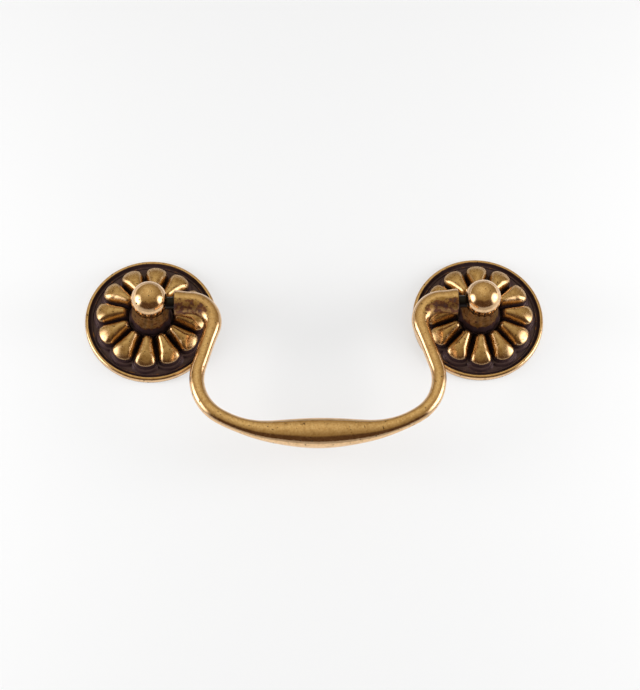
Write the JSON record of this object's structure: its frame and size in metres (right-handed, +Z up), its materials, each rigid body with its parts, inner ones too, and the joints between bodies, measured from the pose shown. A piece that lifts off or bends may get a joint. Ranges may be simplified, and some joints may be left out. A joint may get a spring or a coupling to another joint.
{
  "type": "swinging bail pull",
  "caption": "Drawer or cabinet pull in aged brass: a round bail with a swelled grip hung between ball-headed posts on petalled rosettes.",
  "frame": {"origin": "midway between the two post axes, on the plane of the drawer front that the rosettes sit against", "axes": "+X along the row of two posts, to the right as seen from the front; +Z up the drawer front, the bail hangs towards -Z; the pull faces -Y and the drawer front lies on its +Y side"},
  "size_m": [0.1346, 0.0207, 0.0641],
  "materials": {
    "antique_brass": "polished brass, darkened in its recesses"
  },
  "bodies": {
    "mounting": {"left_rosette": "antique_brass", "left_post": "antique_brass", "right_rosette": "antique_brass", "right_post": "antique_brass"},
    "bail": {"bail": "antique_brass"}
  },
  "joints": [
    {"name": "bail_swing", "type": "hinge", "parent": "mounting", "child": "bail", "pos_m": [0, -0.013, 0], "axis": [-1, 0, 0], "range_deg": [-12, 192]}
  ]
}
